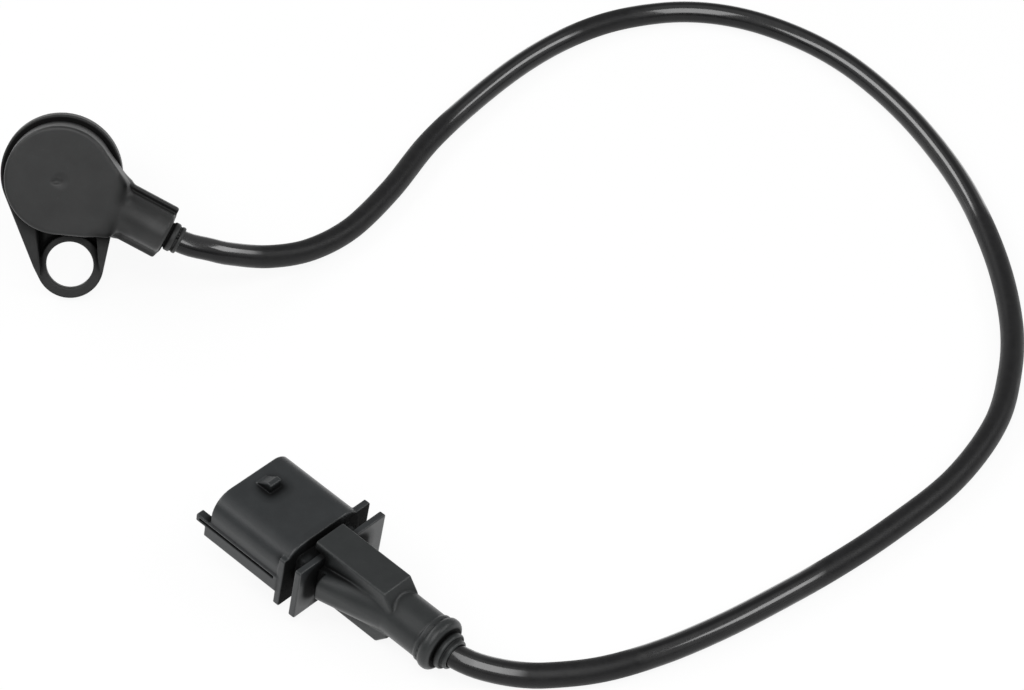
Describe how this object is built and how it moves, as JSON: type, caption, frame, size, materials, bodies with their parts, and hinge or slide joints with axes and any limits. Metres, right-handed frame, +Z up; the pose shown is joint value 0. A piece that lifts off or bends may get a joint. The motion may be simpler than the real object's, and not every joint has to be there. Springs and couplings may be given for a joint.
{
  "type": "crankshaft position sensor",
  "caption": "Crankshaft position sensor: flanged head with a bolt ear and a plug nose, a round sheathed lead, and an oval plug with clip plates and a beaded boot.",
  "frame": {"origin": "on the floor under the middle of the sensor head's box; the head stands on its ear tip and nose end, and the lead and the plug lie on the same floor", "axes": "+Z up; +Y along the sensor head from its cover side to its nose, which is the head's longest extent; +X to the side where the lead leaves"},
  "size_m": [0.2283, 0.226, 0.0408],
  "materials": {
    "body_plastic": "fine moulded, dark grey",
    "cover_plastic": "fine moulded, dark grey",
    "seal_rubber": "smooth",
    "pole_steel": "turned",
    "magnet_metal": "sintered",
    "former_plastic": "moulded, natural",
    "winding_copper": "enamelled wire",
    "contact_brass": "stamped",
    "core_brown": "extruded",
    "core_blue": "extruded",
    "core_pale": "extruded",
    "lead_sheath": "smooth, glossy",
    "plug_plastic": "fine moulded, dark grey",
    "boot_plastic": "fine moulded, dark grey",
    "carrier_plastic": "moulded"
  },
  "bodies": {
    "root": {"sensor_body": "body_plastic", "cover": "cover_plastic", "seal_ring": "seal_rubber", "pole_pin": "pole_steel", "magnet": "magnet_metal", "coil_former": "former_plastic", "winding": "winding_copper", "blade_left": "contact_brass", "blade_right": "contact_brass", "core_left": "core_brown", "core_right": "core_blue", "cable": "lead_sheath", "plug_housing": "plug_plastic", "plug_boot": "boot_plastic", "contact_carrier": "carrier_plastic", "contact_1": "contact_brass", "contact_2": "contact_brass", "contact_3": "contact_brass", "plug_core_1": "core_brown", "plug_core_2": "core_pale", "plug_core_3": "core_blue"}
  },
  "joints": []
}
